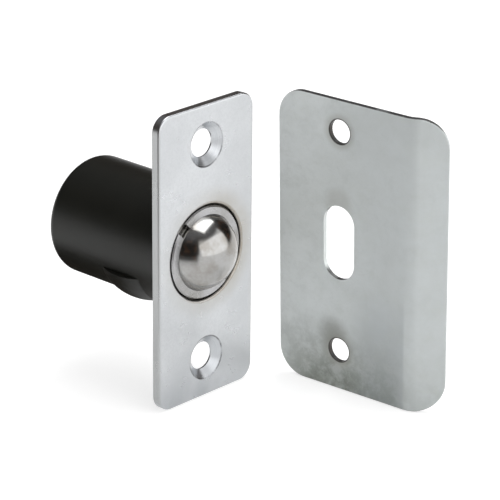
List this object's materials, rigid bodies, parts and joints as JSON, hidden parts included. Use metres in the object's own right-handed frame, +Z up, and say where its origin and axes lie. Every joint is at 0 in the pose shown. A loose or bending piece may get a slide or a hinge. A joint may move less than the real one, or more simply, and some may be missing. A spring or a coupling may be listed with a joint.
{
  "type": "ball catch",
  "caption": "Adjustable mortice ball catch with sprung steel ball in an oblong faceplate, and its lipped strike plate for the door jamb.",
  "frame": {"origin": "centre of the faceplate's rear face, which seats in the door's edge, on the axis of the ball", "axes": "+Z up along the plates, +Y into the door along the case, the ball stands out towards -Y; the strike plate stands on the +X side"},
  "size_m": [0.0386, 0.0698, 0.0591],
  "materials": {
    "plated_steel": "satin chrome plate",
    "black_finish": "satin black",
    "plated_sleeve": "bright zinc plate",
    "bare_steel": "plain steel",
    "polished_steel": "polished steel",
    "spring_steel": "drawn spring wire",
    "strike_steel": "tumbled stainless sheet"
  },
  "bodies": {
    "root": {"faceplate": "plated_steel", "case": "black_finish", "strike_plate": "strike_steel"},
    "cartridge": {"spring": "spring_steel"},
    "sleeve": {"adjusting_sleeve": "plated_sleeve", "end_plug": "bare_steel"},
    "seat": {"ball_seat": "bare_steel"},
    "ball": {"ball": "polished_steel"}
  },
  "joints": [
    {"name": "sleeve_travel", "type": "slide", "parent": "root", "child": "cartridge", "axis": [0, -1, 0], "range_m": [-0.002, 0.002]},
    {"name": "sleeve_turn", "type": "hinge", "parent": "cartridge", "child": "sleeve", "pos_m": [0, 0, 0], "axis": [0, -1, 0], "range_deg": [-721, 721]},
    {"name": "ball_press", "type": "slide", "parent": "cartridge", "child": "seat", "axis": [0, 1, 0], "range_m": [0, 0.0048], "stiffness_N_per_m": 2400, "springref_m": -0.004, "deforming": ["spring"]},
    {"name": "ball_roll", "type": "hinge", "parent": "seat", "child": "ball", "pos_m": [0, 0.00105, 0], "axis": [0, 0, 1], "continuous": true}
  ],
  "couplings": [
    {"joint": "sleeve_turn", "follows": "sleeve_travel", "rad_per_m": 6283.2}
  ]
}
